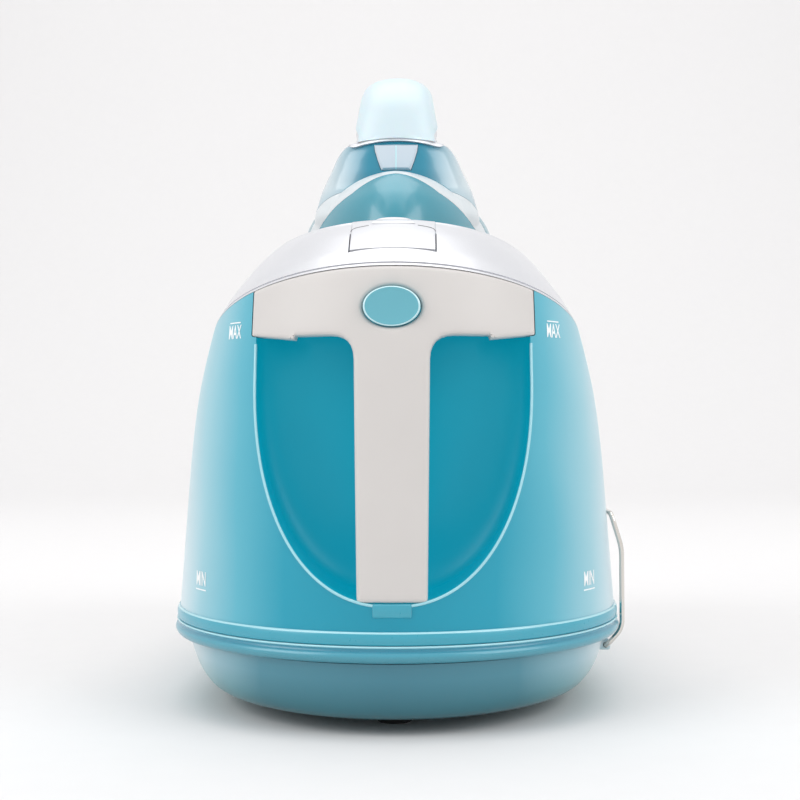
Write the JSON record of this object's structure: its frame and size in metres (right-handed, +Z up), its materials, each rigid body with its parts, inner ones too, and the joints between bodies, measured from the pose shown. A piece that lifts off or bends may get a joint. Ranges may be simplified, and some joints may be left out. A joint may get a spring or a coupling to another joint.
{
  "type": "steam ironing station",
  "caption": "Steam ironing station: teal base with a pull-out water tank and T-shaped handle, a silver rest frame, and a detachable iron parked on top.",
  "frame": {"origin": "on the floor, under the middle of the base", "axes": "+X to the right as the tank handle is faced, +Y to the back, away from the tank handle, +Z up"},
  "size_m": [0.2388, 0.396, 0.3382],
  "materials": {
    "tank_teal": "translucent teal, polished",
    "band_teal": "teal, satin gloss",
    "bowl_teal": "dark teal, satin",
    "warm_white_plastic": "off-white, satin",
    "aqua_plastic": "pale aqua, satin gloss",
    "button_teal": "light teal, gloss",
    "silver_paint": "silver metallic paint",
    "chrome_wire": "polished",
    "spring_steel": "drawn wire",
    "cast_aluminium": "as cast",
    "polished_sole": "polished and coated",
    "dark_plastic": "moulded",
    "dark_rubber": "moulded",
    "silicone_tube": "milky silicone",
    "circuit_board_green": "solder resist",
    "light_lens": "frosted lens",
    "clear_lens": "clear lens"
  },
  "bodies": {
    "base": {"base_tray": "bowl_teal", "base_deck": "band_teal", "foot_front": "dark_rubber", "foot_left": "dark_rubber", "foot_right": "dark_rubber", "foot_rear_left": "dark_rubber", "foot_rear_right": "dark_rubber", "rear_housing": "warm_white_plastic", "connector_bay": "dark_plastic", "hose_socket": "warm_white_plastic", "mains_gland": "dark_rubber", "platform_frame": "silver_paint", "rest_plate": "dark_plastic", "rest_pad_nose": "silicone_tube", "rest_pad_heel": "silicone_tube", "control_panel": "warm_white_plastic", "power_light": "light_lens", "descale_light": "light_lens", "power_spring": "spring_steel", "inlet_spout": "dark_plastic", "boiler": "cast_aluminium", "boiler_cradle": "dark_plastic", "boiler_heater": "spring_steel", "steam_valve": "cast_aluminium", "pump_mount": "dark_rubber", "pump": "dark_plastic", "circuit_board": "circuit_board_green", "feed_tube": "silicone_tube", "boiler_tube": "silicone_tube", "steam_tube": "silicone_tube", "drain_tube": "silicone_tube"},
    "tank": {"tank_shell": "tank_teal", "tank_base": "tank_teal", "tank_handle": "warm_white_plastic", "outlet_valve": "dark_plastic", "button_spring": "spring_steel", "valve_spring": "spring_steel"},
    "release_button": {"tank_release_button": "button_teal"},
    "latch": {"tank_latch": "dark_plastic"},
    "flap": {"filler_flap": "tank_teal"},
    "poppet": {"valve_poppet": "dark_plastic"},
    "iron": {"soleplate": "polished_sole", "steam_chamber": "cast_aluminium", "sole_skirt": "dark_plastic", "iron_hood": "button_teal", "front_stripe": "warm_white_plastic", "upper_shell": "tank_teal", "heel_cover": "warm_white_plastic", "iron_handle": "tank_teal", "handle_cap": "aqua_plastic", "handle_lens": "clear_lens", "trigger_spring": "spring_steel", "iron_hose_socket": "dark_rubber", "iron_steam_tube": "silicone_tube"},
    "trigger": {"steam_trigger": "button_teal"},
    "tongue": {"lock_tongue": "silver_paint"},
    "hook": {"lock_hook": "silver_paint"},
    "power_key": {"power_button": "button_teal"},
    "knob": {"descale_knob": "aqua_plastic"},
    "clip": {"hose_clip": "chrome_wire"}
  },
  "joints": [
    {"name": "tank_pull", "type": "slide", "parent": "base", "child": "tank", "axis": [0, -1, 0], "range_m": [0, 0.2]},
    {"name": "release_press", "type": "slide", "parent": "tank", "child": "release_button", "axis": [0, 1, 0], "range_m": [0, 0.003], "stiffness_N_per_m": 300, "springref_m": -0.001, "deforming": ["button_spring"]},
    {"name": "latch_drop", "type": "slide", "parent": "tank", "child": "latch", "axis": [0, 0, -1], "range_m": [0, 0.001]},
    {"name": "flap_open", "type": "hinge", "parent": "tank", "child": "flap", "pos_m": [-0.045, -0.09731, 0.19184], "axis": [1, 0, 0], "range_deg": [0, 75], "stiffness_Nm_per_rad": 0.003, "springref_deg": -28.65},
    {"name": "poppet_slide", "type": "slide", "parent": "tank", "child": "poppet", "axis": [0, -1, 0], "range_m": [0, 0.0015], "stiffness_N_per_m": 200, "springref_m": -0.002, "deforming": ["valve_spring"]},
    {"name": "iron_lift", "type": "slide", "parent": "base", "child": "iron", "axis": [0, 0.1736, 0.9848], "range_m": [0, 0.25]},
    {"name": "trigger_squeeze", "type": "hinge", "parent": "iron", "child": "trigger", "pos_m": [0, -0.0011, 0.31513], "axis": [-1, 0, 0], "range_deg": [0, 4], "stiffness_Nm_per_rad": 0.5, "springref_deg": -2.86, "deforming": ["trigger_spring"]},
    {"name": "tongue_press", "type": "hinge", "parent": "base", "child": "tongue", "pos_m": [0, -0.16357, 0.22601], "axis": [-1, 0, 0], "range_deg": [0, 5.5], "stiffness_Nm_per_rad": 1, "springref_deg": -4.58},
    {"name": "hook_slide", "type": "slide", "parent": "base", "child": "hook", "axis": [0, 0.9848, -0.1736], "range_m": [0, 0.0052]},
    {"name": "power_press", "type": "slide", "parent": "base", "child": "power_key", "axis": [0, -0.1736, -0.9848], "range_m": [0, 0.0015], "stiffness_N_per_m": 300, "springref_m": -0.001, "deforming": ["power_spring"]},
    {"name": "knob_turn", "type": "hinge", "parent": "base", "child": "knob", "pos_m": [0, 0.1663, 0.09], "axis": [0, 1, 0], "range_deg": [0, 90]},
    {"name": "clip_swing", "type": "hinge", "parent": "base", "child": "clip", "pos_m": [0.1095, -0.061, 0.0265], "axis": [0, 1, 0], "range_deg": [0, 60]}
  ],
  "couplings": [
    {"joint": "latch_drop", "follows": "release_press", "ratio": 0.3333},
    {"joint": "hook_slide", "follows": "tongue_press", "m_per_rad": 0.0521}
  ]
}
